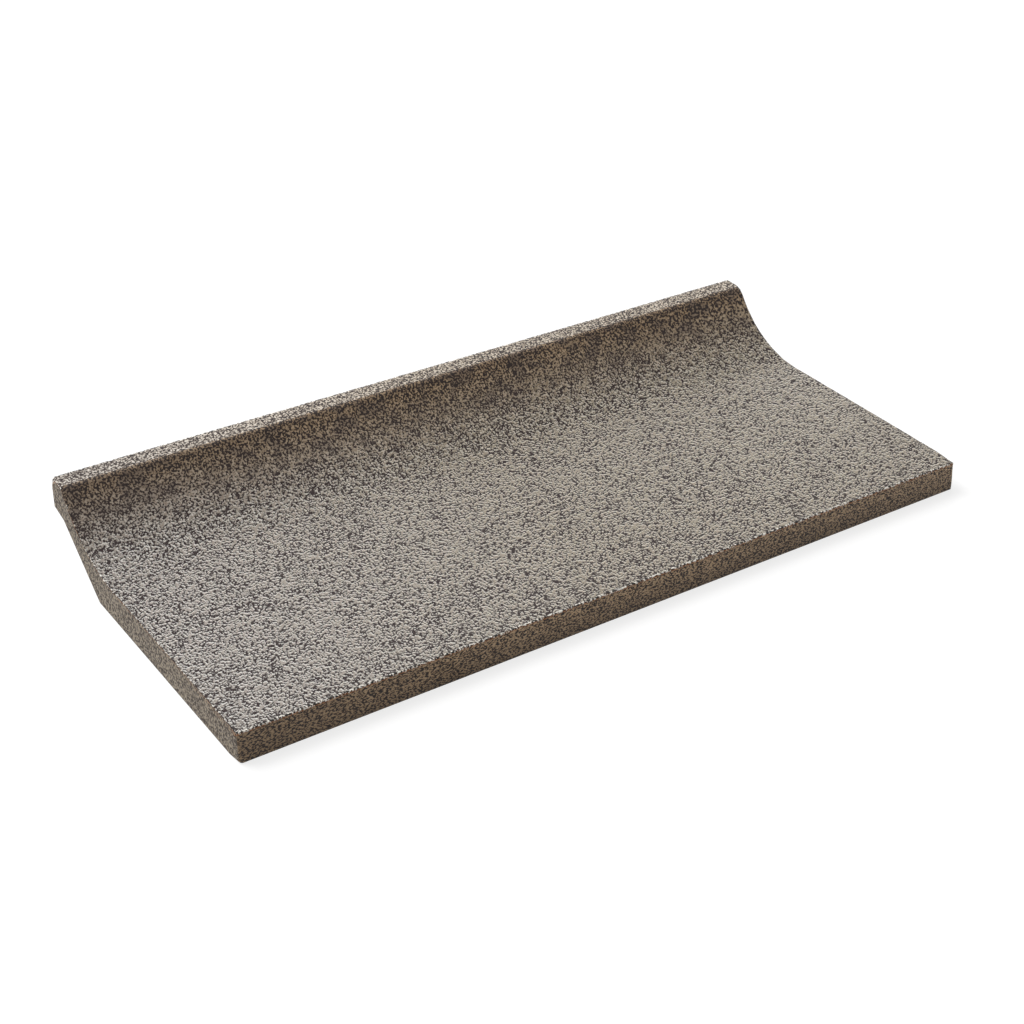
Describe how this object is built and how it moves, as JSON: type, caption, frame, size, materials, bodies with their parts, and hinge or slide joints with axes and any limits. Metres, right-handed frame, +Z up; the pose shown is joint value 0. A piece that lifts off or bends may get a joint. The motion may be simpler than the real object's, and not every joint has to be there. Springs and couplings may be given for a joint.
{
  "type": "cove tile",
  "caption": "Cove base tile: a flat stoneware slab whose long back edge sweeps up through a concave cove into a rounded lip.",
  "frame": {"origin": "centre of the bottom of the tile's bounding box, on the bedding face's level", "axes": "+X along the tile, +Y towards the toe face behind the lip, +Z up, out of the face"},
  "size_m": [0.198, 0.09, 0.0218],
  "materials": {
    "stoneware_body": "unglazed, speckled, fine matt"
  },
  "bodies": {
    "root": {"cove_tile": "stoneware_body"}
  },
  "joints": []
}
